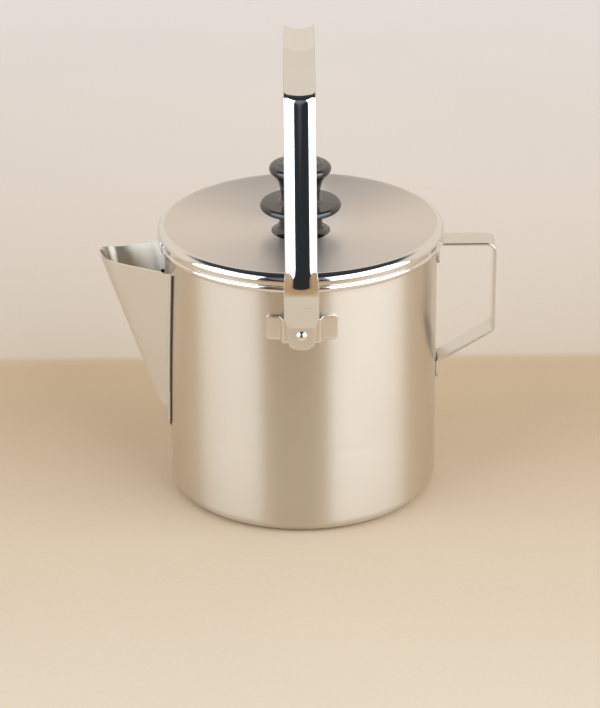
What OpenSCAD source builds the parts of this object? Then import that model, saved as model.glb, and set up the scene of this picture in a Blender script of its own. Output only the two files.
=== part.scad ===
// Stainless steel coffee pot with a wedge spout, a fixed rear handle,
// a swinging bail and a lift-off lid with a turned knob.
// Millimetres. The origin is the centre of the base, on the surface that the
// pot stands on. +Z is up, the spout points along -X and the rear handle
// along +X. The bail swings about an axis along Y.

/* [Body] */
// Outside diameter of the body
body_d = 140; // [130:1:144]
// Height from the base to the top of the rolled rim
body_h = 138.4; // [134:0.2:150]
// Thickness of the body sheet
wall_t = 0.8; // [0.6:0.1:1]
// Outside radius of the bottom corner
corner_r = 7; // [4:0.5:10]
// Outside radius of the rolled rim's tube
rim_r = 2.1; // [1.8:0.1:2.4]

/* [Pouring holes] */
// Diameter of one pouring hole
hole_d = 2.5; // [2:0.5:6]
// Distance between neighbouring pouring holes
hole_pitch = 9; // [8:0.5:10]
// Height of the topmost row of pouring holes
hole_top_z = 110; // [108:1:115]
// Number of pouring holes in each row, from the top row down
hole_rows = [4, 3, 3, 2, 2, 1]; // [1:1:4]

/* [Spout] */
// Distance from the pot's axis to the spout's lip
lip_reach = 104; // [96:0.2:106]
// Height of the lip
lip_z = 128.6; // [124:0.2:132]
// Fall of the mouth's edge from the lip to the body, in degrees
mouth_fall = 5.2; // [0:0.2:8]
// Radius of the fold at the lip
lip_fold_r = 12; // [8:0.5:14]
// Height at which the fold runs out to a sharp ridge
ridge_end_z = 40; // [36:1:46]
// Distance from the pot's axis to the ridge at that height
ridge_end_reach = 74; // [73:0.2:76]
// Half-width that each side plate gains per millimetre towards the body
side_slope = 0.475; // [0.4:0.005:0.5]
// Thickness of the spout sheet
spout_t = 0.8; // [0.6:0.1:1.2]
// Half-width of the spout's flange near the mouth
flange_top_w = 27; // [25:0.5:30]
// Half-width of the spout's flange near its lower end
flange_low_w = 15; // [12:0.5:18]
// Height of the flange's lower end
flange_low_z = 32.6; // [28:0.2:36]

/* [Rear handle] */
// Distance from the pot's axis to the handle's outer face
grip_reach = 100.2; // [95:0.2:108]
// Height of the handle's top face
grip_top_z = 133.8; // [128:0.2:134]
// Height of the outer lower corner
grip_low_z = 85.3; // [80:0.2:92]
// Height at which the lower bar meets the body
grip_root_z = 67.5; // [60:0.5:75]
// Width of the handle strip
grip_w = 15.6; // [12:0.2:20]
// Thickness of the handle strip
grip_t = 1.3; // [1:0.1:2]

/* [Bail] */
// Height of the bail's pivot
pivot_z = 112.8; // [108:0.2:116]
// Width of the bail strip in the flat lower part of each leg
bail_w = 17.4; // [14:0.2:20]
// Width of the bail strip along its curl, in the grip and the upper legs
bail_curl_w = 16.4; // [14:0.2:20]
// Thickness of the bail strip
bail_t = 1.2; // [1:0.1:1.4]
// Distance from the pot's middle plane to the middle of the pivot tab
tab_y = 75.4; // [75.3:0.1:76.5]
// Distance from the pot's middle plane to the widest point of a leg
bail_wide_y = 79.4; // [79:0.1:82]
// Height of the widest point
bail_wide_z = 137; // [135:0.5:142]
// Distance from the pot's middle plane to the top corner
bail_top_y = 55.3; // [50:0.1:62]
// Height of the top corner
bail_top_z = 229; // [225:0.2:240]
// Height of the kink in the middle of the grip
bail_kink_z = 234.4; // [226:0.2:244]
// Radius of the curl across the strip
curl_r = 15; // [13:0.5:20]
// Radius of the bend at each top corner
bail_bend_r = 3.4; // [3:0.1:12]

/* [Bail brackets and rivets] */
// Distance from the pot's middle plane to the bridge's outer face
bridge_y = 74.5; // [73.5:0.1:74.5]
// Half-width of the bridge
bridge_w = 9.2; // [8.5:0.1:10]
// Half-width of the bracket over its wings
wing_w = 17.6; // [16:0.1:20]
// Height of the wings' lower edge
wing_low_z = 108.6; // [105:0.2:109]
// Height of the wings' upper edge
wing_top_z = 121.4; // [117:0.2:123]
// Thickness of the bracket sheet
bracket_t = 1; // [0.8:0.1:1.2]
// Diameter of the rivet's shank
rivet_d = 4; // [3:0.1:4.2]
// Diameter of the rivet's domed head
rivet_head_d = 5.7; // [5.4:0.1:7]
// Radial running clearance of the bail's hole on the rivet
rivet_gap = 0.06; // [0.02:0.01:0.1]

/* [Lid] */
// Outside diameter of the lid
lid_d = 147.2; // [146:0.2:150]
// Height of the lid's crest above the base
lid_crest_z = 144.2; // [143:0.1:146]
// Radius of the lid's rounded edge
lid_edge_r = 3.9; // [3:0.1:5]
// Depth of the shallow dish in the lid's top
lid_dish = 1.9; // [1:0.1:3]
// Thickness of the lid sheet
lid_t = 0.8; // [0.6:0.1:1]
// Radius of the seat pressed into the lid under the knob
seat_r = 17.4; // [16:0.1:20]
// Depth of that seat
seat_depth = 3.2; // [2:0.1:4]
// Radial gap between the lid's collar and the body's inside
collar_gap = 0.5; // [0.3:0.1:1.5]
// Height of the collar's lower edge
collar_low_z = 124; // [118:1:132]

/* [Knob] */
// Diameter of the knob's foot
foot_d = 29.2; // [26:0.2:29.2]
// Diameter of the lower disc, which guards the fingers
guard_d = 41.6; // [36:0.2:46]
// Diameter of the top disc
cap_d = 31.8; // [28:0.2:36]
// Diameter of the neck
neck_d = 19.6; // [16:0.2:22]
// Height of the knob
knob_h = 37; // [34:0.5:40]
// Diameter of the shallow ring on the knob's top
cap_ring_d = 20.5; // [16:0.5:22]
// Diameter of the screw
screw_d = 4; // [3:0.5:5]

/* [Hidden] */
$fn = 96;

steel = [0.74, 0.72, 0.69];
bright_steel = [0.85, 0.85, 0.86];
black = [0.05, 0.05, 0.05];
brass = [0.78, 0.62, 0.32];

// Clearance left between two sheets that are spot-welded together
weld_gap = 0.05;
// Extra length on a cutting solid so that it passes right through
over = 1;

body_r = body_d / 2;
rim_z = body_h - rim_r;
rim_c = body_r - wall_t + rim_r;

lid_r = lid_d / 2;
lid_low_z = body_h + weld_gap;
panel_z = lid_crest_z - lid_dish;
dish_chord = lid_r - lid_edge_r;
dish_r = (dish_chord * dish_chord + lid_dish * lid_dish) / (2 * lid_dish);
seat_z = panel_z - seat_depth;
collar_r = body_r - wall_t - collar_gap;
collar_t = 0.6;
collar_flange = 6;

// Reach of the lid's hem inside the top of the rim
hem_lap = 1;

washer_r = 7;
washer_t = 0.8;
screw_head_r = 3.6;
screw_head_h = 2.2;
screw_reach = 11;
screw_hole_d = screw_d + 0.4;
insert_r = 3.4;
insert_h = 13;

// Body -----------------------------------------------------------------------

// Half section of the body's outline, moved inwards by inset and open at the top
module body_section(inset) {
    top = inset > 0 ? rim_z + over : rim_z;
    translate([0, inset]) square([body_r - corner_r, top - inset]);
    translate([0, corner_r]) square([body_r - inset, top - corner_r]);
    translate([body_r - corner_r, corner_r]) circle(corner_r - inset);
}

// Half section of the rolled rim: a tube, open towards the wall
module rim_section() {
    difference() {
        translate([rim_c, rim_z]) circle(rim_r);
        translate([rim_c, rim_z]) circle(rim_r - wall_t);
        translate([body_r, rim_z - rim_r - over]) square([rim_r - wall_t - 0.5, rim_r + over]);
    }
}

// Turns the pot's far side towards -X and lifts a radial cutter into place
module pouring_hole(angle, z) {
    rotate([0, 0, 180 + angle]) translate([body_r - wall_t - over, 0, z])
        rotate([0, 90, 0]) cylinder(d = hole_d, h = wall_t + 2 * over);
}

module pot_body() {
    step = hole_pitch / body_r * 180 / PI;
    color(steel) difference() {
        rotate_extrude() {
            difference() {
                body_section(0);
                body_section(wall_t);
            }
            rim_section();
        }
        for (row = [0 : len(hole_rows) - 1], i = [0 : hole_rows[row] - 1])
            pouring_hole((i - (hole_rows[row] - 1) / 2) * step, hole_top_z - row * hole_pitch * 1.1);
    }
}

// Spout ----------------------------------------------------------------------

// Where the side plates would meet in plan, for a fold of radius r at reach x
side_factor = sqrt(1 + side_slope * side_slope) - side_slope;
fold_half_angle = 90 - atan(side_slope);
fold_steps = 10;
plate_root = 58;

// Reach of the ridge at height z: straight, then curved in to the body
ridge_blend_z = ridge_end_z + 5;
function ridge_line(z) = ridge_end_reach
    + (lip_reach - ridge_end_reach) * (z - ridge_end_z) / (lip_z - ridge_end_z);
function ridge_reach(z) = z >= ridge_blend_z ? ridge_line(z)
    : ridge_line(ridge_blend_z) - 6 * (1 - cos(90 * (ridge_blend_z - z) / 6.5));
function fold_radius(z) = max(lip_fold_r * (z - ridge_end_z) / (lip_z - ridge_end_z), 0);

// One horizontal outline of the wedge, drawn inset by t, at height z
function wedge_ring(z, t) =
    let (r0 = max(fold_radius(z), spout_t + 0.3), r = r0 - t,
         tip = ridge_reach(z) - t,
         c = tip - r,
         root_w = side_slope * (tip - plate_root) + side_factor * r)
    concat([[-plate_root, -root_w, z]],
           [for (i = [0 : fold_steps])
               let (a = -fold_half_angle + 2 * fold_half_angle * i / fold_steps)
               [-c - r * cos(a), r * sin(a), z]],
           [[-plate_root, root_w, z]]);

wedge_levels = [ridge_blend_z - 5.9, ridge_blend_z - 4.6, ridge_blend_z - 3, ridge_blend_z - 1.5,
                ridge_blend_z, 62, 84, 106, lip_z + 8];

// The wedge as one closed solid through its horizontal outlines
module wedge(t) {
    rings = [for (z = wedge_levels) wedge_ring(z, t)];
    n = len(rings[0]);
    m = len(rings);
    points = [for (ring = rings, p = ring) p];
    sides = [for (j = [0 : m - 2], i = [0 : n - 1])
        let (a = j * n + i, b = j * n + (i + 1) % n)
        each [[a, b, b + n], [a, b + n, a + n]]];
    polyhedron(points, concat(sides,
        [[for (i = [0 : n - 1]) n - 1 - i]],
        [[for (i = [0 : n - 1]) (m - 1) * n + i]]));
}

// Everything above the mouth's sloping edge
module above_mouth() {
    translate([-lip_reach, 0, lip_z]) rotate([0, mouth_fall, 0])
        translate([-20, -60, 0]) cube([80, 120, 40]);
}

// The flange's outline seen along X, with a rounded lower end
module flange_outline() {
    low_r = 9;
    polygon([[-flange_low_w, flange_low_z + low_r], [-flange_top_w, lip_z],
             [flange_top_w, lip_z], [flange_low_w, flange_low_z + low_r],
             [flange_low_w - low_r, flange_low_z], [low_r - flange_low_w, flange_low_z]]);
    for (side = [-1, 1])
        translate([side * (flange_low_w - low_r), flange_low_z + low_r]) circle(low_r);
}

module flange() {
    intersection() {
        rotate_extrude() translate([body_r + weld_gap, 0]) square([spout_t, lip_z]);
        translate([-body_r - 5, 0, 0]) rotate([90, 0, 90]) linear_extrude(30) flange_outline();
    }
}

module spout() {
    color(steel) difference() {
        union() {
            difference() {
                wedge(0);
                cylinder(r = body_r + weld_gap, h = lip_z + 20);
            }
            flange();
        }
        wedge(spout_t);
        above_mouth();
    }
}

// Bent strips ----------------------------------------------------------------

function unit(v) = v / norm(v);
function left_of(v) = [-v[1], v[0]];

// The corner b of a path a-b-c, moved t to the left of the way
function shifted(a, b, c, t) =
    let (n1 = left_of(unit(b - a)), n2 = left_of(unit(c - b)))
    b + t * (n1 + n2) / (1 + n1 * n2);

// Points of the round corner of radius r at b on a path a-b-c
function round_corner(a, b, c, r, steps = 8) =
    let (u = unit(b - a), w = unit(c - b), turn = asin(u[0] * w[1] - u[1] * w[0]),
         side = sign(turn), cut = r * tan(abs(turn) / 2),
         centre = b - cut * u + side * r * left_of(u))
    [for (i = [0 : steps]) let (f = turn * i / steps)
        centre - side * r * (cos(f) * left_of(u) - sin(f) * u)];

// A path with round corners, moved t to the left. corners is a list of [x, y, radius]
// of the path itself; the radius at a moved corner keeps the same centre.
function round_path(corners, t) =
    let (n = len(corners), p = [for (c = corners) [c[0], c[1]]],
         first = p[0] + t * left_of(unit(p[1] - p[0])),
         last = p[n - 1] + t * left_of(unit(p[n - 1] - p[n - 2])),
         moved = [for (i = [0 : n - 1]) i == 0 ? first : i == n - 1 ? last
                      : shifted(p[i - 1], p[i], p[i + 1], t)])
    concat([first],
        [for (i = [1 : n - 2])
            let (u = p[i] - p[i - 1], w = p[i + 1] - p[i], side = sign(u[0] * w[1] - u[1] * w[0]))
            each round_corner(moved[i - 1], moved[i], moved[i + 1], corners[i][2] - side * t)],
        [last]);

// Edge-on outline of a bent sheet, t thick, to the left of its path
module bent_sheet(corners, t) {
    far = round_path(corners, t);
    polygon(concat(round_path(corners, 0), [for (i = [len(far) - 1 : -1 : 0]) far[i]]));
}

// A piece of sheet lying on the body, as wide as the cutter that it is cut by
module body_skin(low, high, t) {
    rotate_extrude() translate([body_r + weld_gap, low]) square([t, high - low]);
}

// Rear handle ----------------------------------------------------------------

grip_flange_low = [122.6, 58.4];
grip_flange_high = [grip_top_z - 3, grip_root_z - 3];
grip_foot_x = body_r + weld_gap;

// Outer face of the handle, from the lower end round to the upper end
handle_path = [
    [grip_foot_x + grip_t, grip_flange_high[1] - 2, 0],
    [grip_foot_x + grip_t, grip_root_z, 3.2],
    [grip_reach, grip_low_z, 4.2],
    [grip_reach, grip_top_z, 5],
    [grip_foot_x, grip_top_z, 2.6],
    [grip_foot_x, grip_flange_high[0] - 2, 0]];

module rear_handle() {
    color(bright_steel) {
        difference() {
            translate([0, grip_w / 2, 0]) rotate([90, 0, 0]) linear_extrude(grip_w)
                bent_sheet(handle_path, grip_t);
            cylinder(r = body_r + weld_gap, h = body_h);
        }
        for (i = [0, 1]) intersection() {
            body_skin(grip_flange_low[i], grip_flange_high[i], grip_t);
            translate([0, -grip_w / 2, 0]) cube([body_r + 10, grip_w, body_h]);
        }
    }
}

// Bail brackets --------------------------------------------------------------

fold_r = 1.8;
foot_w = bridge_w + 1.6;
wing_r = body_r + weld_gap + bracket_t;
wing_mid = sqrt(pow(wing_r - bracket_t / 2, 2) - foot_w * foot_w);

// Outer face of the bridge, from one wing to the other
bridge_path = [
    [foot_w, wing_mid, 0],
    [bridge_w, bridge_y, fold_r],
    [-bridge_w, bridge_y, fold_r],
    [-foot_w, wing_mid, 0]];

// The bracket seen from above
module bracket_plan() {
    difference() {
        union() {
            bent_sheet(bridge_path, bracket_t);
            for (side = [0, 1]) mirror([side, 0]) intersection() {
                circle(wing_r);
                translate([foot_w - 0.8, 0]) square([wing_w, wing_r + over]);
            }
        }
        circle(body_r + weld_gap);
    }
}

// The bracket's outline seen along Y, with rounded corners
module bracket_outline() {
    r = 1.6;
    for (x = [-wing_w + r, wing_w - r], z = [wing_low_z + r, wing_top_z - r])
        translate([x, z]) circle(r);
    translate([-wing_w, wing_low_z + r]) square([2 * wing_w, wing_top_z - wing_low_z - 2 * r]);
    translate([-wing_w + r, wing_low_z]) square([2 * (wing_w - r), wing_top_z - wing_low_z]);
}

module bail_bracket() {
    difference() {
        intersection() {
            translate([0, 0, wing_low_z - over])
                linear_extrude(wing_top_z - wing_low_z + 2 * over) bracket_plan();
            translate([0, bridge_y + over, 0]) rotate([90, 0, 0])
                linear_extrude(20) bracket_outline();
        }
        translate([0, bridge_y + over, pivot_z]) rotate([90, 0, 0])
            cylinder(d = rivet_d, h = bracket_t + 2 * over);
    }
}

module bail_bracket_left() {
    color(steel) mirror([0, 1, 0]) bail_bracket();
}

module bail_bracket_right() {
    color(steel) bail_bracket();
}

// Rivets ---------------------------------------------------------------------

head_y = tab_y + bail_t / 2 + 0.15;
head_h = 1.5;
tail_h = 0.9;
// Radius of the sphere that caps the rivet's head
dome_r = (pow(rivet_head_d / 2, 2) + head_h * head_h) / (2 * head_h);

// Half section of the rivet, with its axis up and the body at height 0
module rivet_section() {
    shank_low = bridge_y - bracket_t;
    translate([0, shank_low]) square([rivet_d / 2, head_y - shank_low]);
    translate([0, shank_low - tail_h]) square([rivet_head_d / 2, tail_h]);
    intersection() {
        translate([0, head_y + head_h - dome_r]) circle(dome_r);
        translate([0, head_y]) square([rivet_head_d / 2, head_h]);
    }
}

module bail_rivet() {
    translate([0, 0, pivot_z]) rotate([-90, 0, 0]) rotate_extrude() rivet_section();
}

module bail_rivet_left() {
    color(bright_steel) mirror([0, 1, 0]) bail_rivet();
}

module bail_rivet_right() {
    color(bright_steel) bail_rivet();
}

// Bail -----------------------------------------------------------------------

tab_low_z = 105.6;
tab_bend_z = 118;
tab_w = 14.2;
curl_steps = 8;

// Centre line of one leg and half the grip, in the plane X = 0, as [y, z]
leg_way = [bail_top_y - bail_wide_y, bail_top_z - bail_wide_z];
grip_way = [-bail_top_y, bail_kink_z - bail_top_z];
leg_angle = atan2(leg_way[1], leg_way[0]);
grip_angle = atan2(grip_way[1], grip_way[0]);
corner_turn = grip_angle - leg_angle;
corner_cut = bail_bend_r * tan(corner_turn / 2);
corner_start = [bail_top_y, bail_top_z] - corner_cut * leg_way / norm(leg_way);
corner_c = corner_start + bail_bend_r * [cos(leg_angle + 90), sin(leg_angle + 90)];

// Stations along the strip: [y, z, direction of travel, amount of curl]
lean = atan2(bail_wide_z - tab_bend_z, bail_wide_y - tab_y);
function blend(u) = u * u * (3 - 2 * u);
stations = concat(
    [[tab_y, tab_low_z, 90, 0], [tab_y, tab_bend_z - 1, 90, 0]],
    [let (s = 2.5) [tab_y + s * cos(lean), tab_bend_z + s * sin(lean), lean, 0]],
    [for (i = [0 : 6]) let (u = i / 6)
        [bail_wide_y - 0.9 * pow(1 - u, 2) - 0.9 * pow(u, 2) + 0.3,
         bail_wide_z - 5 + 12 * u, lean + (leg_angle - lean) * u, blend(u)]],
    [for (i = [0 : 6]) let (a = leg_angle + corner_turn * i / 6)
        [corner_c[0] + bail_bend_r * cos(a - 90), corner_c[1] + bail_bend_r * sin(a - 90), a, 1]],
    [[0.5, bail_kink_z - 0.03, 180, 1]]);

// One cross section of the strip at a station: outer face, then inner face
function strip_ring(s) =
    let (k = max(s[3], 0.001), r = curl_r / k,
         half_a = (bail_w + (bail_curl_w - bail_w) * s[3]) / 2 / curl_r * 180 / PI, out = [sin(s[2]), -cos(s[2])],
         face = function (sign) [for (i = [0 : curl_steps])
             let (a = sign * half_a * k * (2 * i / curl_steps - 1),
                  rr = r - sign * bail_t / 2, lift = r - rr * cos(a))
             [rr * sin(a), s[0] + out[0] * lift, s[1] + out[1] * lift]])
    concat(face(1), face(-1));

// The whole strip, from one tab over the top to the other
module strip_solid() {
    half = [for (s = stations) strip_ring(s)];
    rings = concat(half, [for (j = [len(half) - 1 : -1 : 0])
        [for (p = half[j]) [p[0], -p[1], p[2]]]]);
    n = len(rings[0]);
    m = len(rings);
    points = [for (ring = rings, p = ring) p];
    sides = [for (j = [0 : m - 2], i = [0 : n - 1])
        let (a = j * n + i, b = j * n + (i + 1) % n)
        each [[a, b, b + n], [a, b + n, a + n]]];
    caps = [for (i = [0 : curl_steps - 1])
        let (p = i, q = i + 1, r = n - 2 - i, s = n - 1 - i, e = (m - 1) * n)
        each [[p, r, q], [p, s, r], [e + p, e + q, e + r], [e + p, e + r, e + s]]];
    polyhedron(points, concat(sides, caps));
}

// Outline of the strip seen along Y: full width above, narrowed at the tabs
module tab_outline() {
    r = 3.4;
    shoulder = 4;
    low_w = tab_w - 1.6;
    half = bail_w / 2 + over;
    for (x = [-low_w / 2 + r, low_w / 2 - r]) translate([x, tab_low_z + r]) circle(r);
    polygon([[-low_w / 2 + r, tab_low_z], [low_w / 2 - r, tab_low_z],
             [low_w / 2, tab_low_z + r], [tab_w / 2, tab_bend_z - 1],
             [bail_w / 2, tab_bend_z + shoulder], [half, tab_bend_z + shoulder],
             [half, bail_kink_z + 10], [-half, bail_kink_z + 10],
             [-half, tab_bend_z + shoulder], [-bail_w / 2, tab_bend_z + shoulder],
             [-tab_w / 2, tab_bend_z - 1], [-low_w / 2, tab_low_z + r]]);
}

module bail_handle() {
    color(bright_steel) difference() {
        intersection() {
            strip_solid();
            translate([0, 100, 0]) rotate([90, 0, 0]) linear_extrude(200) tab_outline();
        }
        translate([0, 100, pivot_z]) rotate([90, 0, 0])
            cylinder(r = rivet_d / 2 + rivet_gap, h = 200);
    }
}

// Lid ------------------------------------------------------------------------

// Radius of the flat floor of the seat under the knob, and the slope of its wall
seat_floor_r = seat_r - 1.4;
seat_wall = atan2(seat_depth, seat_r - seat_floor_r);
lid_floor_z = seat_z - 5;

// Half section of all that lies under the lid's top face moved in by inset
module lid_section(inset) {
    wide = lid_r - lid_edge_r;
    edge_z = lid_crest_z - lid_edge_r;
    low = lid_floor_z - inset;
    floor_r = seat_floor_r + inset * tan(seat_wall / 2);
    difference() {
        union() {
            translate([0, low]) square([wide, lid_crest_z - inset - low]);
            translate([0, low]) square([lid_r - inset, edge_z - low]);
            translate([wide, edge_z]) circle(lid_edge_r - inset);
        }
        translate([0, panel_z + dish_r]) circle(dish_r + inset, $fn = 720);
        polygon([[0, seat_z - inset], [floor_r, seat_z - inset],
                 [floor_r + 6 / tan(seat_wall), seat_z - inset + 6], [0, seat_z - inset + 6]]);
    }
}

module lid_shell() {
    color(steel) difference() {
        rotate_extrude() {
            difference() {
                lid_section(0);
                lid_section(lid_t);
                translate([lid_r - 2 * lid_t, lid_floor_z - over])
                    square([2 * lid_t + over, lid_low_z - lid_floor_z + over]);
            }
            // Hem folded inwards, which rests on the body's rim
            translate([rim_c - hem_lap, lid_low_z]) square([lid_r - rim_c + hem_lap, lid_t]);
        }
        translate([0, 0, seat_z - lid_t - over]) cylinder(d = screw_hole_d, h = lid_t + 2 * over);
    }
}

module lid_collar() {
    inner_r = collar_r - collar_flange;
    top_z = panel_z - lid_t + inner_r * inner_r / (2 * dish_r) - weld_gap;
    color(steel) rotate_extrude() {
        translate([collar_r - collar_t, collar_low_z]) square([collar_t, top_z - collar_low_z]);
        translate([inner_r, top_z - collar_t]) square([collar_flange, collar_t]);
    }
}

// Knob -----------------------------------------------------------------------

foot_z = seat_z;
guard_z = foot_z + 14;
cap_z = foot_z + knob_h - 3.2;

// A disc with a round edge, as a half section
module round_disc(d, z, edge) {
    translate([d / 2 - edge, z]) circle(edge);
    translate([0, z - edge]) square([d / 2 - edge, 2 * edge]);
}

// A concave flare that widens from radius r at height z by size, upwards or downwards
module flare(r, z, size, down = false) {
    translate([r, z]) mirror([0, down ? 1 : 0]) difference() {
        translate([-r, 0]) square([r + size, size]);
        translate([size, 0]) circle(size);
    }
}

module lid_knob() {
    neck_r = neck_d / 2;
    color(black) difference() {
        rotate_extrude() {
            difference() {
                union() {
                    // Neck, widening slightly towards the top disc
                    polygon([[0, foot_z], [neck_r, foot_z], [neck_r, foot_z + 17],
                             [neck_r + 0.9, foot_z + 23.9], [neck_r + 1.9, cap_z - 5.4],
                             [neck_r + 4.4, cap_z - 2.1], [0, cap_z]]);
                    // Foot, flaring down to the lid
                    polygon([[0, foot_z], [foot_d / 2, foot_z], [foot_d / 2, foot_z + 0.4],
                             [foot_d / 2 - 3, foot_z + 3.6], [neck_r + 0.4, foot_z + 6.4],
                             [neck_r, foot_z + 9], [0, foot_z + 9]]);
                    round_disc(guard_d, guard_z, 1.9);
                    // Fillets above and below the guard disc
                    flare(neck_r, guard_z + 1.8 + 2, 2, down = true);
                    flare(neck_r, guard_z - 1.8 - 2, 2);
                    round_disc(cap_d, cap_z, 2.2);
                    // Top, rising slightly to the middle
                    polygon([[0, cap_z], [cap_d / 2 - 2.2, cap_z], [cap_d / 2 - 2.2, cap_z + 2.2],
                             [4, foot_z + knob_h], [0, foot_z + knob_h]]);
                }
                // Shallow ring on the top
                translate([cap_ring_d / 2, foot_z + knob_h + 0.2]) circle(0.9);
            }
        }
        translate([0, 0, foot_z - over]) cylinder(r = insert_r, h = insert_h + over);
    }
}

module knob_insert() {
    color(brass) translate([0, 0, foot_z]) difference() {
        cylinder(r = insert_r, h = insert_h);
        translate([0, 0, -over]) cylinder(d = screw_d, h = insert_h - 0.6 + over);
    }
}

module knob_washer() {
    color(bright_steel) translate([0, 0, seat_z - lid_t - washer_t]) difference() {
        cylinder(r = washer_r, h = washer_t);
        translate([0, 0, -over]) cylinder(d = screw_hole_d, h = washer_t + 2 * over);
    }
}

module knob_screw() {
    head_z = seat_z - lid_t - washer_t - screw_head_h;
    color(bright_steel) translate([0, 0, head_z]) difference() {
        union() {
            cylinder(r = screw_head_r, h = screw_head_h);
            cylinder(d = screw_d, h = screw_head_h + washer_t + lid_t + screw_reach);
        }
        for (turn = [0, 90]) rotate([0, 0, turn]) translate([-2.2, -0.5, -over])
            cube([4.4, 1, over + 1.2]);
    }
}

pot_body();
spout();
rear_handle();
bail_bracket_left();
bail_bracket_right();
bail_rivet_left();
bail_rivet_right();
bail_handle();
lid_shell();
lid_collar();
lid_knob();
knob_insert();
knob_screw();
knob_washer();
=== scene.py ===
"""Looks for the coffee pot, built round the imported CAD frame."""

import math

import bmesh
import bpy
from mathutils import Matrix, Vector


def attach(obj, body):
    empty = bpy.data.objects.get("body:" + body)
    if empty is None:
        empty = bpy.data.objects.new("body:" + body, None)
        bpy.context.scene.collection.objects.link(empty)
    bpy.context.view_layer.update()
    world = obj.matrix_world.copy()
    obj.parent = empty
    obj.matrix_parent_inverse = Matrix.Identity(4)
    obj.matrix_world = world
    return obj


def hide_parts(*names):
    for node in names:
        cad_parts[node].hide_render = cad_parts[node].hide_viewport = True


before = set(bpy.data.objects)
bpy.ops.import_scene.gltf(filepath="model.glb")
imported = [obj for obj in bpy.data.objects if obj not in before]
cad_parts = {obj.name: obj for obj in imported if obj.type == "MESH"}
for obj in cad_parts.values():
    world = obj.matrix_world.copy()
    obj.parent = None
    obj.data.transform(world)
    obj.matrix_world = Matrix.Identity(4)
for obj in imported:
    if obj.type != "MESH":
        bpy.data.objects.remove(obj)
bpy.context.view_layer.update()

MM = 0.001
SHARP_DEG = 32.0

# ---------------------------------------------------------------- mesh helpers


def new_object(name, verts_mm, faces, sharp_deg=SHARP_DEG):
    """A smooth-shaded mesh object from points in millimetres."""
    mesh = bpy.data.meshes.new(name)
    mesh.from_pydata([(x * MM, y * MM, z * MM) for x, y, z in verts_mm], [], faces)
    bm = bmesh.new()
    bm.from_mesh(mesh)
    bmesh.ops.recalc_face_normals(bm, faces=bm.faces)
    bm.to_mesh(mesh)
    bm.free()
    for poly in mesh.polygons:
        poly.use_smooth = True
    mesh.set_sharp_from_angle(angle=math.radians(sharp_deg))
    obj = bpy.data.objects.new(name, mesh)
    bpy.context.scene.collection.objects.link(obj)
    return obj


def arc(cx, cz, r, start_deg, end_deg, steps):
    """Points of an arc, both ends included."""
    return [
        (cx + r * math.cos(math.radians(start_deg + (end_deg - start_deg) * i / steps)),
         cz + r * math.sin(math.radians(start_deg + (end_deg - start_deg) * i / steps)))
        for i in range(steps + 1)
    ]


def rounded(corners, per_corner=8):
    """A path through (x, z, radius) corners, with each inner corner rounded."""
    out = [Vector(corners[0][:2])]
    for before, here, after in zip(corners, corners[1:], corners[2:]):
        p, a, b = Vector(here[:2]), Vector(before[:2]), Vector(after[:2])
        u, w = (p - a).normalized(), (b - p).normalized()
        turn = math.atan2(u.x * w.y - u.y * w.x, u.dot(w))
        radius = here[2]
        if radius <= 0 or abs(turn) < 1e-4:
            out.append(p)
            continue
        side = math.copysign(1, turn)
        start = p - u * (radius * math.tan(abs(turn) / 2))
        centre = start + Vector((-u.y, u.x)) * (side * radius)
        spoke = start - centre
        for i in range(per_corner + 1):
            f = turn * i / per_corner
            c, s = math.cos(f), math.sin(f)
            out.append(centre + Vector((spoke.x * c - spoke.y * s, spoke.x * s + spoke.y * c)))
    out.append(Vector(corners[-1][:2]))
    return [(p.x, p.y) for p in out]


def revolve(name, profile, segments):
    """Turns an (r, z) profile about the Z axis. Points on the axis become poles.

    A profile that doesn't touch the axis is closed on itself."""
    verts, rings = [], []
    for r, z in profile:
        if r < 1e-6:
            rings.append([len(verts)])
            verts.append((0, 0, z))
            continue
        rings.append(list(range(len(verts), len(verts) + segments)))
        for i in range(segments):
            a = 2 * math.pi * i / segments
            verts.append((r * math.cos(a), r * math.sin(a), z))
    pairs = list(zip(rings, rings[1:]))
    if len(rings[0]) > 1 and len(rings[-1]) > 1:
        pairs.append((rings[-1], rings[0]))
    faces = []
    for low, high in pairs:
        for i in range(segments):
            j = (i + 1) % segments
            if len(low) == 1:
                faces.append((low[0], high[i], high[j]))
            elif len(high) == 1:
                faces.append((low[i], low[j], high[0]))
            else:
                faces.append((low[i], low[j], high[j], high[i]))
    return new_object(name, verts, faces)


def loft(name, rings):
    """A closed skin through rings of equal length, with flat caps at both ends."""
    n = len(rings[0])
    verts = [p for ring in rings for p in ring]
    faces = [
        (j * n + i, j * n + (i + 1) % n, (j + 1) * n + (i + 1) % n, (j + 1) * n + i)
        for j in range(len(rings) - 1)
        for i in range(n)
    ]
    faces.append(tuple(range(n)))
    faces.append(tuple((len(rings) - 1) * n + i for i in range(n)))
    return new_object(name, verts, faces)


def strip_section(half_w, thick, edge):
    """Outline of a flat strip's cross section as (across, up) points, edges rounded."""
    across, round_steps = 10, 3
    e = min(edge, thick / 2 * 0.98)
    out = []
    corners = [(half_w - e, thick / 2 - e, 0), (-half_w + e, thick / 2 - e, 90),
               (-half_w + e, -thick / 2 + e, 180), (half_w - e, -thick / 2 + e, 270)]
    for k, (cx, cz, start) in enumerate(corners):
        out += arc(cx, cz, e, start, start + 90, round_steps)
        if k in (0, 2):
            x0 = cx
            x1 = corners[k + 1][0]
            y = out[-1][1]
            out += [(x0 + (x1 - x0) * i / across, y) for i in range(1, across)]
    return out


def resample(path, step):
    """Adds points to the long straight stretches of a path."""
    out = [path[0]]
    for a, b in zip(path, path[1:]):
        d = math.dist(a, b)
        n = max(1, int(d / step))
        out += [tuple(p + (q - p) * i / n for p, q in zip(a, b)) for i in range(1, n + 1)]
    return out


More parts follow.
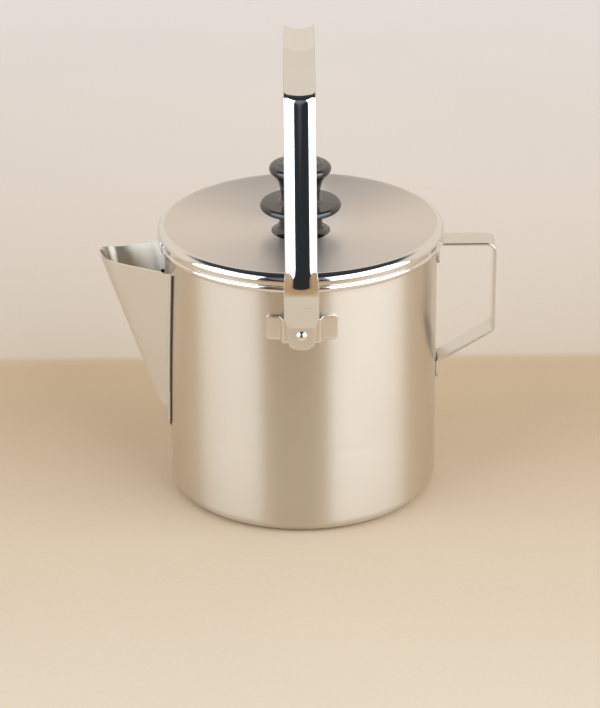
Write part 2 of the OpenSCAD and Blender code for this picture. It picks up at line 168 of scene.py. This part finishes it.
def paint(obj, test):
    """Gives the second material to the faces whose centre (r, z), in millimetres, passes."""
    for poly in obj.data.polygons:
        c = poly.center / MM
        if test(math.hypot(c.x, c.y), c.z):
            poly.material_index = 1


def smooth(u):
    """An ease from 0 to 1 as u goes from 0 to 1."""
    u = min(1.0, max(0.0, u))
    return u * u * (3 - 2 * u)


def lengths(path):
    """Length along a path up to each of its points."""
    out = [0.0]
    for a, b in zip(path, path[1:]):
        out.append(out[-1] + math.dist(a, b))
    return out


def end_round(s, r):
    """How much a strip's half width is cut back at s from its end, for corners of radius r."""
    return r - math.sqrt(max(r * r - (r - s) ** 2, 0)) if s < r else 0


def settle(obj):
    """Turns an object's modifiers into plain mesh."""
    dg = bpy.context.evaluated_depsgraph_get()
    mesh = bpy.data.meshes.new_from_object(obj.evaluated_get(dg))
    obj.modifiers.clear()
    obj.data = mesh
    mesh.set_sharp_from_angle(angle=math.radians(SHARP_DEG))


def cut(obj, cutters):
    """Subtracts closed cutters from obj for good."""
    for c in cutters:
        mod = obj.modifiers.new("cut", "BOOLEAN")
        mod.operation = "DIFFERENCE"
        mod.solver = "EXACT"
        mod.object = c
    settle(obj)
    for c in cutters:
        bpy.data.objects.remove(c)


def rod(radius, start, end, segments=32):
    """A plain closed cylinder between two points in millimetres, used as a cutter."""
    a, b = Vector(start), Vector(end)
    along = (b - a).normalized()
    side = along.orthogonal().normalized()
    up = along.cross(side)
    rings = []
    for c in (a, b):
        rings.append([tuple(c + radius * (math.cos(t) * side + math.sin(t) * up))
                      for t in (2 * math.pi * i / segments for i in range(segments))])
    return loft("cutter", rings)


# ---------------------------------------------------------------- materials


class Nodes:
    """Short-hand for building one material's node tree."""

    def __init__(self, name):
        self.mat = bpy.data.materials.new(name)
        self.mat.use_nodes = True
        self.tree = self.mat.node_tree
        self.tree.nodes.clear()
        self.out = self.add("ShaderNodeOutputMaterial")
        self.bsdf = self.add("ShaderNodeBsdfPrincipled")
        self.link(self.bsdf, "BSDF", self.out, "Surface")

    def add(self, kind, **values):
        node = self.tree.nodes.new(kind)
        for key, value in values.items():
            if key in node.inputs:
                node.inputs[key].default_value = value
            else:
                setattr(node, key, value)
        return node

    def link(self, a, a_out, b, b_in):
        self.tree.links.new(a.outputs[a_out], b.inputs[b_in])

    def math(self, op, a, b=None):
        node = self.add("ShaderNodeMath", operation=op)
        for i, v in enumerate((a, b)):
            if v is None:
                continue
            if isinstance(v, (int, float)):
                node.inputs[i].default_value = v
            else:
                self.tree.links.new(v, node.inputs[i])
        return node.outputs[0]

    def mix(self, a, b, share):
        """A share of a plus the rest of b."""
        first = self.math("MULTIPLY", a, share)
        return self.math("ADD", first, self.math("MULTIPLY", b, round(1 - share, 6)))

    def position(self):
        return self.add("ShaderNodeTexCoord").outputs["Object"]

    def xyz(self):
        sep = self.add("ShaderNodeSeparateXYZ")
        self.tree.links.new(self.position(), sep.inputs[0])
        return sep.outputs

    def vector(self, x, y, z):
        node = self.add("ShaderNodeCombineXYZ")
        for i, v in enumerate((x, y, z)):
            if isinstance(v, (int, float)):
                node.inputs[i].default_value = v
            else:
                self.tree.links.new(v, node.inputs[i])
        return node.outputs[0]

    def noise(self, vector, scale, detail=3.0, rough=0.55):
        node = self.add("ShaderNodeTexNoise")
        node.inputs["Scale"].default_value = scale
        node.inputs["Detail"].default_value = detail
        node.inputs["Roughness"].default_value = rough
        self.tree.links.new(vector, node.inputs["Vector"])
        return node.outputs["Fac"]

    def spread(self, value, low, high, lo_in=0.3, hi_in=0.7):
        """Maps value from lo_in..hi_in to low..high."""
        node = self.add("ShaderNodeMapRange")
        node.inputs["From Min"].default_value = lo_in
        node.inputs["From Max"].default_value = hi_in
        node.inputs["To Min"].default_value = low
        node.inputs["To Max"].default_value = high
        self.tree.links.new(value, node.inputs["Value"])
        return node.outputs["Result"]

    def ramp(self, value, stops):
        node = self.add("ShaderNodeValToRGB")
        ramp = node.color_ramp
        while len(ramp.elements) < len(stops):
            ramp.elements.new(0.5)
        for element, (pos, colour) in zip(ramp.elements, stops):
            element.position = pos
            element.color = (*colour, 1.0)
        self.tree.links.new(value, node.inputs["Fac"])
        return node.outputs["Color"]

    def bump(self, height, strength, distance_m):
        node = self.add("ShaderNodeBump")
        node.inputs["Strength"].default_value = strength
        node.inputs["Distance"].default_value = distance_m
        self.tree.links.new(height, node.inputs["Height"])
        self.tree.links.new(node.outputs["Normal"], self.bsdf.inputs["Normal"])

    def drive(self, value, socket):
        self.tree.links.new(value, self.bsdf.inputs[socket])


def steel(name, colour, rough, grain, along, anisotropy=0.0, bump=0.1, spread=0.06, tone=0.93,
          dull=None):
    """Stainless steel with brushing.

    grain is the spacing of the brush marks per metre and along says how they run:
    'round' the Z axis, along 'x', 'y' or 'z'. dull is a height in metres below which
    the finish is scuffed."""
    m = Nodes(name)
    x, y, z = m.xyz()
    if along == "round":
        angle = m.math("ARCTAN2", y, x)
        radius = m.math("SQRT", m.math("ADD", m.math("MULTIPLY", x, x), m.math("MULTIPLY", y, y)))
        across = m.math("ADD", m.math("MULTIPLY", z, grain), m.math("MULTIPLY", radius, grain))
        brushed = m.vector(m.math("MULTIPLY", angle, 3.0), across, 0.0)
    else:
        scale = [grain] * 3
        scale["xyz".index(along)] = grain / 60
        brushed = m.vector(*(m.math("MULTIPLY", v, s) for v, s in zip((x, y, z), scale)))
    lines = m.noise(brushed, 1.0, 4.0, 0.65)
    cloud = m.noise(m.position(), 28.0, 3.0, 0.5)
    m.bsdf.inputs["Metallic"].default_value = 1.0
    dark = tuple(c * tone for c in colour)
    m.drive(m.ramp(m.mix(lines, cloud, 0.6), [(0.35, dark), (0.65, colour)]), "Base Color")
    finish = m.spread(m.mix(lines, cloud, 0.7), rough - spread, rough + spread)
    if dull:
        scuffed = m.spread(z, 0.30, 0.0, dull - 0.006, dull + 0.006)
        finish = m.math("MAXIMUM", finish, scuffed)
    m.drive(finish, "Roughness")
    if anisotropy:
        m.bsdf.inputs["Anisotropic"].default_value = anisotropy
        m.bsdf.inputs["Anisotropic Rotation"].default_value = 0.25
        tangent = m.add("ShaderNodeTangent", direction_type="RADIAL", axis="Z")
        m.link(tangent, "Tangent", m.bsdf, "Tangent")
    if bump:
        m.bump(lines, bump, 0.00002)
    return m.mat


def dress(obj, material, slot, body, *nodes):
    """Gives a piece its material and body, and hides the CAD nodes it stands for.

    material can be a list; the faces keep their material indices."""
    indices = [poly.material_index for poly in obj.data.polygons]
    obj.data.materials.clear()
    for m in material if isinstance(material, list) else [material]:
        obj.data.materials.append(m)
    obj.data.polygons.foreach_set("material_index", indices)
    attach(obj, body)
    if nodes:
        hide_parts(*nodes)


# The body's steel is browner than the other steel parts: partly the steel's own tint, partly a
# painted warm reflection of the brown floor.
satin = steel("satin_body", (0.76, 0.70, 0.60), 0.35, 9000, "round", anisotropy=0.90, bump=0.02,
              spread=0.02, tone=0.97)
satin_lid = steel("satin_lid", (0.84, 0.79, 0.75), 0.42, 9000, "round", anisotropy=0.6, bump=0.02,
                  spread=0.02, tone=0.97)
satin_strip = steel("satin_strip", (0.78, 0.75, 0.71), 0.20, 9000, "z", bump=0.02, spread=0.02,
                    tone=0.97)
satin_plate = steel("satin_plate", (0.84, 0.83, 0.80), 0.42, 9000, "z", bump=0.02, spread=0.02,
                    tone=0.97)
mirror = steel("polished", (0.84, 0.83, 0.81), 0.10, 3000, "round", bump=0.0, spread=0.012, tone=0.97)
mirror_bail = steel("polished_bail", (0.80, 0.79, 0.77), 0.06, 3000, "z", bump=0.0, spread=0.012,
                    tone=0.97, dull=0.1335)
# Near-black steel for the spout flange's edges: painted shade standing in for the shadowed gap and
# the dark reflection along the edge.
painted_edge_shade = steel("painted_edge_shade", (0.16, 0.14, 0.12), 0.35, 3000, "z", bump=0.0, spread=0.05)

black_nodes = Nodes("black_plastic")
black_cloud = black_nodes.noise(black_nodes.position(), 220.0, 4.0, 0.6)
black_nodes.drive(black_nodes.ramp(black_cloud, [(0.3, (0.006, 0.006, 0.007)),
                                                 (0.7, (0.012, 0.012, 0.013))]), "Base Color")
black_nodes.drive(black_nodes.spread(black_cloud, 0.08, 0.16), "Roughness")
black_nodes.bump(black_cloud, 0.02, 0.00002)
black_nodes.bsdf.inputs["IOR"].default_value = 1.8
black = black_nodes.mat

brass_nodes = Nodes("brass")
brass_cloud = brass_nodes.noise(brass_nodes.position(), 900.0)
brass_nodes.bsdf.inputs["Metallic"].default_value = 1.0
brass_nodes.drive(brass_nodes.ramp(brass_cloud, [(0.3, (0.66, 0.48, 0.20)),
                                                 (0.7, (0.80, 0.62, 0.30))]), "Base Color")
brass_nodes.drive(brass_nodes.spread(brass_cloud, 0.22, 0.34), "Roughness")
brass = brass_nodes.mat

# ---------------------------------------------------------------- body

BODY_R = 70.0
WALL = 0.8
RIM_R = 2.1
RIM_Z = 136.3
RIM_C = BODY_R - WALL + RIM_R
HOLE_R, HOLE_PITCH, HOLE_TOP_Z, HOLE_STEP = 1.25, 9.0, 110, 9.9
HOLE_ROWS = [4, 3, 3, 2, 2, 1]
PIVOT_Z = 112.8


def make_body():
    """The drawn body with its rolled rim, one faint groove and the pouring holes."""
    inner_r = BODY_R - WALL
    join_deg = 180 + math.degrees(math.acos((RIM_C - BODY_R) / RIM_R))
    outer = rounded([(0, 0, 0), (BODY_R, 0, 7), (BODY_R, 40, 0)], 12)
    join_z = RIM_Z + RIM_R * math.sin(math.radians(join_deg))
    groove = [(BODY_R, 43.6), (BODY_R - 0.015, 44.2), (BODY_R - 0.015, 44.8), (BODY_R, 45.4)]
    outer += groove + [(BODY_R, z) for z in range(52, 132, 8)] + [(BODY_R, join_z - 1.0)]
    rim = arc(RIM_C, RIM_Z, RIM_R, join_deg, 540, 40)
    inner = rounded([(inner_r, RIM_Z - 4, 0), (inner_r, WALL, 6.2), (0, WALL, 0)], 10)
    obj = revolve("pot_wall", outer + rim + inner, 512)
    cutters = []
    for k, count in enumerate(HOLE_ROWS):
        for i in range(count):
            a = math.pi + (i - (count - 1) / 2) * HOLE_PITCH / BODY_R
            z = HOLE_TOP_Z - k * HOLE_STEP
            d = Vector((math.cos(a), math.sin(a), 0))
            low, high = d * 66, d * 73
            cutters.append(rod(HOLE_R, (low.x, low.y, z), (high.x, high.y, z)))
    cut(obj, cutters)
    paint(obj, lambda r, z: z > join_z)
    dress(obj, [satin, mirror], "satin_steel", "pot", "pot_body")


make_body()

# ---------------------------------------------------------------- spout

SPOUT_T = 0.8
FLANGE_R = BODY_R + 0.07 + SPOUT_T
LIP_REACH, LIP_Z = 104.0, 128.6
RIDGE_Z, RIDGE_REACH = 40.0, 74.0
SIDE_SLOPE = 0.475
LIP_FOLD = 12.0
SPOUT_LOW_Z = 32.6


def ridge_reach(z):
    """Distance from the axis to the ridge, which runs out into the body at its lower end."""
    line = RIDGE_REACH + (LIP_REACH - RIDGE_REACH) * (z - RIDGE_Z) / (LIP_Z - RIDGE_Z)
    return line - 6.0 * smooth((RIDGE_Z + 2 - z) / 8.0)


def fold_radius(z):
    """Radius of the fold along the ridge, tightening downwards."""
    return max(LIP_FOLD * (z - RIDGE_Z) / (LIP_Z - RIDGE_Z), 1.2)


def fold_end(z):
    """Half width at which the fold passes into the flat side plate."""
    return fold_radius(z) * math.cos(math.atan(SIDE_SLOPE))


def wedge_x(y, z):
    """Distance from the axis to the wedge's outer face."""
    r = fold_radius(z)
    y = abs(y)
    centre = ridge_reach(z) - r
    y_fold = fold_end(z)
    if y <= y_fold:
        return centre + math.sqrt(r * r - y * y)
    return centre + math.sqrt(r * r - y_fold * y_fold) - (y - y_fold) / SIDE_SLOPE


def smooth_max(a, b, k):
    """The larger of two values, blended where they are within k of each other."""
    h = max(k - abs(a - b), 0.0) / k
    return max(a, b) + h * h * k / 4


def spout_x(y, z):
    """Distance from the axis to the outer face of wedge and flange together."""
    flange = math.sqrt(FLANGE_R * FLANGE_R - y * y)
    return smooth_max(flange, wedge_x(y, z), 1.2)


def bend_y(z):
    """Where the side plate meets the flange."""
    lo, hi = 0.0, 26.0
    for _ in range(30):
        mid = (lo + hi) / 2
        if wedge_x(mid, z) > math.sqrt(FLANGE_R * FLANGE_R - mid * mid):
            lo = mid
        else:
            hi = mid
    return (lo + hi) / 2


def flange_edge(z):
    """Half width of the flanges, whose lower corners are rounded."""
    low_w, top_w, corner_r = 15.0, 26.9, 9.0
    corner_z = SPOUT_LOW_Z + corner_r
    if z < corner_z:
        u = (corner_z - z) / corner_r
        return low_w - corner_r + corner_r * math.sqrt(max(0.0, 1 - u * u))
    return low_w + (top_w - low_w) * (z - corner_z) / (LIP_Z - corner_z)


def rim_z(x):
    """Height of the mouth's edge at a distance x from the axis."""
    if x > 93:
        return 126.3 + 2.5 * ((x - 93) / 10.4) ** 1.5
    return 125.3 + (x - 68) * 0.04


def flange_rim(c):
    """Whether a point in millimetres is on the flange's outer cut edge."""
    return abs(c.y) > flange_edge(c.z) - 0.45 or c.z < 33.1


def make_spout():
    """The folded wedge: a grid of points from ridge to flange edge, given its thickness."""
    fine = [i / 10 for i in range(11)]
    levels = [0, 0.003, 0.01, 0.02, 0.035, 0.05, 0.07, 0.09, 0.11, 0.13, 0.15, 0.17, 0.2, 0.25]
    levels += [0.3 + 0.69 * i / 16 for i in range(17)] + [0.996, 1.0]
    rows = []
    for v in levels:
        row = []
        for part in range(4):
            for f in fine[(1 if part else 0):]:
                z = SPOUT_LOW_Z + v * (126.0 - SPOUT_LOW_Z)
                for _ in range(6):
                    y_f, y_b, y_e = fold_end(z), bend_y(z), flange_edge(z)
                    y_f = min(y_f, y_b * 0.6)
                    y_a = max(y_b - 2.2, y_f + (y_b - y_f) * 0.4)
                    y_c = min(y_b + 2.2, y_b + (y_e - y_b) * 0.5)
                    ends = [0.0, y_f, y_a, y_c, y_e]
                    y = ends[part] + (ends[part + 1] - ends[part]) * f
                    x = spout_x(y, z)
                    z = SPOUT_LOW_Z + v * (rim_z(x) - SPOUT_LOW_Z)
                row.append((-x, y, z))
        rows.append([(x, -y, z) for x, y, z in reversed(row[1:])] + row)
    n = len(rows[0])
    verts = [p for row in rows for p in row]
    faces = [(j * n + i, j * n + i + 1, (j + 1) * n + i + 1, (j + 1) * n + i)
             for j in range(len(rows) - 1) for i in range(n - 1)]
    obj = new_object("spout_sheet", verts, faces, 180)
    for p in obj.data.polygons:
        if p.normal.dot(Vector((-1, 0, 0))) < 0:
            p.flip()
    thick = obj.modifiers.new("thickness", "SOLIDIFY")
    thick.thickness = SPOUT_T * MM
    thick.offset = -1
    thick.use_even_offset = False
    thick.material_offset = 1
    thick.material_offset_rim = 1
    edge = obj.modifiers.new("edge", "BEVEL")
    edge.width = 0.3 * MM
    edge.segments = 2
    edge.limit_method = "ANGLE"
    edge.angle_limit = math.radians(60)
    finishes = [satin_plate, mirror, painted_edge_shade]
    for m in finishes:
        obj.data.materials.append(m)
    settle(obj)
    # The flange's edge faces get the near-black steel: painted shade along the gap between flange and
    # body.
    for poly in obj.data.polygons:
        c = poly.center / MM
        if abs(poly.normal.z) < 0.7 and flange_rim(c):
            poly.material_index = 2
    dress(obj, finishes, "satin_steel", "pot", "spout")


make_spout()

# ---------------------------------------------------------------- strips


def strip_along(name, path, normals, width_dir, half_width, thick, edge, curl=None, shift=None):
    """A strip swept along 3-D points, with its width along width_dir.

    half_width, curl and shift are functions of the index along the path; curl is the
    curvature across the strip, and shift moves a point by its place across."""
    rings = []
    width_dir = Vector(width_dir)
    for k, (p, nrm) in enumerate(zip(path, normals)):
        hw = half_width(k)
        ring = []
        for w, h in strip_section(hw, thick, edge):
            c = curl(k) if curl else 0.0
            if abs(c) > 1e-5:
                r = 1 / c
                a = w / r
                across, up = (r - h) * math.sin(a), r - (r - h) * math.cos(a)
            else:
                across, up = w, h
            q = Vector(p) + width_dir * across + Vector(nrm) * up
            if shift:
                q += shift(k, across)
            ring.append(tuple(q))
        rings.append(ring)
    return loft(name, rings)


def path_normals(path):
    """Left-hand normals of a path of 2-D points."""
    out = []
    for i in range(len(path)):
        a, b = path[max(i - 1, 0)], path[min(i + 1, len(path) - 1)]
        d = Vector((b[0] - a[0], b[1] - a[1])).normalized()
        out.append((-d.y, d.x))
    return out


GRIP_W, GRIP_T = 15.6, 1.3


def make_rear_handle():
    """One strip bent into a loop, with both ends lying on the body."""
    mid = GRIP_T / 2
    foot, reach, top = BODY_R + 0.1 + mid, 100.2 - mid, 133.8 - mid
    corners = [(foot, 58.4, 0), (foot, 67.5, 2.6), (reach, 85.3, 3.6), (reach, top, 4.35),
               (foot, top, 2.2), (foot, 122.6, 0)]
    path = resample(rounded(corners, 10), 2.5)
    normals = path_normals(path)
    length = lengths(path)

    def half_width(k):
        return GRIP_W / 2 - end_round(min(length[k], length[-1] - length[k]), 2.0)

    def shift(k, across):
        """The flanges follow the body's curve."""
        near = smooth(1 - (path[k][0] - foot) / 7.0)
        drop = BODY_R - math.sqrt(BODY_R * BODY_R - across * across)
        return Vector((-drop * near, 0, 0))

    obj = strip_along("rear_grip", [(x, 0, z) for x, z in path],
                      [(nx, 0, nz) for nx, nz in normals], (0, 1, 0),
                      half_width, GRIP_T, 0.45, shift=shift)
    dress(obj, satin_strip, "polished_steel", "pot", "rear_handle")


make_rear_handle()

BRACKET_T = 1.0
BAIL_T, TAB_Y = 1.2, 75.4


def make_bracket(side, name, node):
    """A small bridge between two wings that follow the body's curve."""
    wing_r = BODY_R + 0.08 + BRACKET_T / 2
    bridge = 74.5 - BRACKET_T / 2
    foot_w, bridge_w, wing_w = 10.5, 9.1, 17.6
    wing_a, foot_a = math.asin(wing_w / wing_r), math.asin(foot_w / wing_r)
    wing = [(wing_r * math.sin(a), wing_r * math.cos(a))
            for a in (wing_a + (foot_a - wing_a) * i / 12 for i in range(13))]
    corners = [(x, y, 0) for x, y in wing[:-1]] + [(*wing[-1], 0.9), (bridge_w, bridge, 1.1)]
    corners += [(-x, y, r) for x, y, r in reversed(corners)]
    path = resample(rounded(corners, 8), 1.5)
    normals = path_normals(path)
    low, high = 108.6, 121.4
    length = lengths(path)

    def half_width(k):
        return (high - low) / 2 - end_round(min(length[k], length[-1] - length[k]), 1.6)

    obj = strip_along(name, [(x, side * y, (low + high) / 2) for x, y in path],
                      [(nx, side * ny, 0) for nx, ny in normals], (0, 0, 1),
                      half_width, BRACKET_T, 0.3)
    dress(obj, satin_strip, "satin_steel", "pot", node)


make_bracket(-1, "bracket_front", "bail_bracket_left")
make_bracket(1, "bracket_back", "bail_bracket_right")


def make_rivet(side, name, node):
    """Domed head outside the bail's tab, plain shank, flat tail behind the bridge."""
    head_y = TAB_Y + BAIL_T / 2 + 0.15
    head_r, head_h = 2.85, 1.6
    dome_r = (head_r * head_r + head_h * head_h) / (2 * head_h)
    top = [(dome_r * math.sin(a), head_y + head_h - dome_r + dome_r * math.cos(a))
           for a in (math.asin(head_r / dome_r) * i / 14 for i in range(15))]
    profile = [(0, 72.7)] + [(2.7, 72.7), (2.7, 73.45), (2.0, 73.45), (2.0, head_y)] + top[::-1]
    obj = revolve(name, profile, 48)
    obj.data.transform(Matrix.Rotation(math.radians(-90 * side), 4, "X"))
    obj.data.transform(Matrix.Translation((0, 0, PIVOT_Z * MM)))
    dress(obj, mirror, "polished_steel", "pot", node)


make_rivet(-1, "rivet_front", "bail_rivet_left")
make_rivet(1, "rivet_back", "bail_rivet_right")

# ---------------------------------------------------------------- bail


# The curl begins and grows over these lengths from each end, up to its full radius
CURL_START, CURL_RUN, CURL_R = 31.0, 12.0, 15.0


def make_bail():
    """The strip from tab to tab: flat at the tabs, curled across its width above."""
    corners = [(TAB_Y, 105.6, 0), (TAB_Y, 117.6, 3.0), (79.1, 137.0, 14.0),
               (55.3, 229.0, 3.4), (0.0, 234.4, 0)]
    half = resample(rounded(corners, 14), 1.6)
    path = half + [(-y, z) for y, z in reversed(half[:-1])]
    normals = path_normals(path)
    length = lengths(path)

    def half_width(k):
        s = min(length[k], length[-1] - length[k])
        low, tab, full, curled = 6.3, 7.1, 8.7, 8.2
        w = low + (tab - low) * min(s / 11.4, 1) + (full - tab) * smooth((s - 12.0) / 5.5)
        w += (curled - full) * smooth((s - CURL_START) / CURL_RUN)
        return w - end_round(s, 3.4)

    def curl(k):
        s = min(length[k], length[-1] - length[k])
        return -smooth((s - CURL_START) / CURL_RUN) / CURL_R

    obj = strip_along("bail_strip", [(0, y, z) for y, z in path],
                      [(0, ny, nz) for ny, nz in normals], (1, 0, 0),
                      half_width, BAIL_T, 0.4, curl=curl)
    cut(obj, [rod(2.06, (0, y - 4, PIVOT_Z), (0, y + 4, PIVOT_Z), 40) for y in (-TAB_Y, TAB_Y)])
    dress(obj, mirror_bail, "polished_steel", "bail", "bail_handle")


make_bail()

# ---------------------------------------------------------------- lid

LID_R, CREST_Z, EDGE_R, DISH = 73.6, 144.2, 3.9, 4.7
SEAT_Z = CREST_Z - DISH - 0.4


def make_lid():
    """One dished sheet with a polished round edge and a folded hem."""
    chord = LID_R - EDGE_R
    panel_z = CREST_Z - DISH
    dish_r = (chord * chord + DISH * DISH) / (2 * DISH)

    def dish(r):
        return panel_z + dish_r - math.sqrt(dish_r * dish_r - r * r)

    seat = rounded([(0, SEAT_Z, 0), (18, SEAT_Z, 200), (36, dish(36), 100), (46, dish(46), 0)])
    top = seat[:-1] + [(r, dish(r)) for r in range(46, 69, 3)]
    edge = arc(chord, CREST_Z - EDGE_R, EDGE_R, 90, 0, 28)
    low_z = 138.45
    hem = [(LID_R, low_z + 0.3), (LID_R - 0.3, low_z), (70.3, low_z), (70.3, low_z + WALL),
           (LID_R - WALL, low_z + WALL)]
    under = arc(chord, CREST_Z - EDGE_R, EDGE_R - WALL, 0, 90, 8)
    under += [(r, z - WALL) for r, z in reversed(top)]
    obj = revolve("lid_panel", top + edge + hem + under, 512)
    paint(obj, lambda r, z: r > chord + 0.3)
    dress(obj, [satin_lid, mirror], "satin_steel", "lid", "lid_shell")


make_lid()

FOOT_R, NECK_R, GUARD_R, CAP_R = 15.1, 9.8, 20.8, 15.9


def make_knob():
    """The turning, from its foot up: finger guard, waisted neck, top disc with a ring."""
    f = SEAT_Z
    profile = [(0, f), (FOOT_R, f)] + arc(FOOT_R, f + 4.0, 3.9, 270, 190, 10)
    profile += rounded([(FOOT_R - 3.9, f + 4.6, 0), (NECK_R, f + 9.2, 8), (NECK_R, f + 9.9, 0)], 8)
    profile += arc(NECK_R + 2.2, f + 9.9, 2.2, 180, 90, 6)[1:]
    profile += arc(GUARD_R - 1.9, f + 14.0, 1.9, -90, 90, 14)
    profile += arc(NECK_R + 2.2, f + 18.1, 2.2, 270, 180, 6)
    profile += rounded([(NECK_R, f + 18.2, 0), (NECK_R, f + 20.2, 8), (11.4, f + 27.7, 10),
                        (15.1, f + 32.1, 0)], 8)
    profile += arc(CAP_R - 2.2, f + 33.8, 2.2, -48, 90, 14)
    profile += [(12.0, f + 36.15), (10.9, f + 36.35), (10.3, f + 36.1), (9.7, f + 36.5),
                (6, f + 36.8), (0, f + 37.0)]
    obj = revolve("knob_turning", profile, 128)
    dress(obj, black, "black_plastic", "lid", "lid_knob")


make_knob()

# CAD nodes whose shape is kept
for node, material in (("lid_collar", satin_lid), ("knob_screw", mirror), ("knob_washer", mirror),
                       ("knob_insert", brass)):
    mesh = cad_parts[node].data
    mesh.materials.clear()
    mesh.materials.append(material)

# ---------------------------------------------------------------- stage


def make_floor():
    """A large plane, coloured in bands along Y: near floor, horizon and the card behind."""
    m = Nodes("floor_paper")
    x, y, z = m.xyz()
    grain = m.noise(m.position(), 500.0, 4.0, 0.6)
    cloud = m.noise(m.position(), 3.0, 3.0, 0.5)
    # The bands darken the paper towards the front. The darker strip just before the horizon and the
    # darker foot of the card are painted shade in the crease between floor and card, and the card's
    # lightening further back is painted light.
    paper_and_shade = m.ramp(m.spread(y, 0.0, 1.0, -1.2, 0.9), [
        (0.0, (0.40, 0.24, 0.10)), (0.36, (0.48, 0.29, 0.13)), (0.455, (0.71, 0.59, 0.43)),
        (0.640, (0.60, 0.43, 0.26)), (0.6445, (0.68, 0.56, 0.43)), (1.0, (0.88, 0.80, 0.72))])
    mix = m.add("ShaderNodeMix", data_type="RGBA", blend_type="MULTIPLY")
    mix.inputs[0].default_value = 0.35
    m.tree.links.new(paper_and_shade, mix.inputs[6])
    speckle = m.ramp(m.mix(grain, cloud, 0.5), [(0.35, (0.82, 0.82, 0.82)), (0.65, (1, 1, 1))])
    m.tree.links.new(speckle, mix.inputs[7])
    m.tree.links.new(mix.outputs[2], m.bsdf.inputs["Base Color"])
    m.bsdf.inputs["Roughness"].default_value = 0.85
    m.bump(grain, 0.15, 0.0003)
    size = 4000.0
    floor = new_object("floor", [(-size, -size, 0), (size, -size, 0), (size, size, 0),
                                 (-size, size, 0)], [(0, 1, 2, 3)])
    floor.data.materials.append(m.mat)


make_floor()


def area_light(name, location, target, size_x, size_y, power, colour=(1, 1, 1)):
    light = bpy.data.lights.new(name, "AREA")
    light.shape = "RECTANGLE"
    light.size, light.size_y = size_x, size_y
    light.energy = power
    light.color = colour
    obj = bpy.data.objects.new(name, light)
    obj.location = location
    obj.rotation_mode = "QUATERNION"
    obj.rotation_quaternion = (Vector(target) - Vector(location)).to_track_quat("-Z", "Y")
    obj.visible_camera = False
    bpy.context.scene.collection.objects.link(obj)
    return obj


area_light("softbox_left", (-1.94, -1.03, 1.5), (0, 0, 1.5), 2.4, 2.9, 56, (0.90, 0.98, 1.12))
area_light("softbox_right", (1.83, -1.21, 1.5), (0, 0, 1.5), 3.0, 2.9, 86, (0.90, 0.98, 1.12))
area_light("fill", (0, 0.1, 2.4), (0, 0.1, 0), 3.2, 3.2, 30).visible_glossy = False


def make_world():
    """A dark room in front of the pot and overhead, and a pale card behind it, low down."""
    world = bpy.data.worlds.new("studio")
    bpy.context.scene.world = world
    world.use_nodes = True
    tree = world.node_tree
    tree.nodes.clear()

    def add(kind, **values):
        node = tree.nodes.new(kind)
        for key, value in values.items():
            setattr(node, key, value)
        return node

    def ramp(value, low, high, stops):
        shift = add("ShaderNodeMapRange")
        shift.inputs["From Min"].default_value = low
        shift.inputs["From Max"].default_value = high
        tree.links.new(value, shift.inputs["Value"])
        node = add("ShaderNodeValToRGB")
        tree.links.new(shift.outputs["Result"], node.inputs["Fac"])
        while len(node.color_ramp.elements) < len(stops):
            node.color_ramp.elements.new(0.5)
        for element, (pos, colour) in zip(node.color_ramp.elements, stops):
            element.position = pos
            element.color = (*colour, 1)
        return node.outputs["Color"]

    coords = add("ShaderNodeTexCoord")
    sep = add("ShaderNodeSeparateXYZ")
    tree.links.new(coords.outputs["Generated"], sep.inputs[0])
    behind = ramp(sep.outputs["Y"], -0.05, 0.15, [(0.0, (0, 0, 0)), (1.0, (1, 1, 1))])
    below = ramp(sep.outputs["Z"], 0.62, 0.74, [(0.0, (0.84, 0.75, 0.64)), (1.0, (0.05, 0.05, 0.05))])
    card = add("ShaderNodeMix", data_type="RGBA")
    card.inputs[6].default_value = (0.03, 0.032, 0.035, 1)
    tree.links.new(behind, card.inputs[0])
    tree.links.new(below, card.inputs[7])
    room = card.outputs[2]
    towards = add("ShaderNodeVectorMath", operation="DOT_PRODUCT")
    towards.inputs[1].default_value = (0.0, -0.83, 0.56)
    tree.links.new(coords.outputs["Generated"], towards.inputs[0])
    window = ramp(towards.outputs["Value"], 0.90, 1.0, [(0.0, (0, 0, 0)), (0.4, (0.13, 0.15, 0.175)),
                                                       (1.0, (0.15, 0.17, 0.2))])
    total = add("ShaderNodeMix", data_type="RGBA", blend_type="ADD")
    total.inputs[0].default_value = 1.0
    tree.links.new(room, total.inputs[6])
    tree.links.new(window, total.inputs[7])
    background = add("ShaderNodeBackground")
    tree.links.new(total.outputs[2], background.inputs["Color"])
    out = add("ShaderNodeOutputWorld")
    tree.links.new(background.outputs[0], out.inputs["Surface"])


make_world()

# ---------------------------------------------------------------- camera


def make_camera():
    """The camera, with its angles in radians and its focal length in render pixels."""
    yaw, pitch, roll = -0.0008, 0.4244, -0.0100
    focal_px, long_side_px, sensor_mm = 2699.4, 708, 36.0
    ahead = Vector((math.sin(yaw) * math.cos(pitch), math.cos(yaw) * math.cos(pitch),
                    -math.sin(pitch)))
    right = Vector((math.cos(yaw), -math.sin(yaw), 0))
    up = right.cross(ahead)
    right2 = right * math.cos(roll) + up * math.sin(roll)
    up2 = -right * math.sin(roll) + up * math.cos(roll)
    data = bpy.data.cameras.new("camera")
    data.sensor_width = sensor_mm
    data.lens = focal_px * sensor_mm / long_side_px
    data.clip_start, data.clip_end = 0.01, 50
    camera = bpy.data.objects.new("camera", data)
    rotation = Matrix((right2, up2, -ahead)).transposed()
    camera.matrix_world = Matrix.Translation((0, -1.2883, 0.6514)) @ rotation.to_4x4()
    bpy.context.scene.collection.objects.link(camera)
    bpy.context.scene.camera = camera


make_camera()
bpy.context.scene.view_settings.view_transform = "Standard"
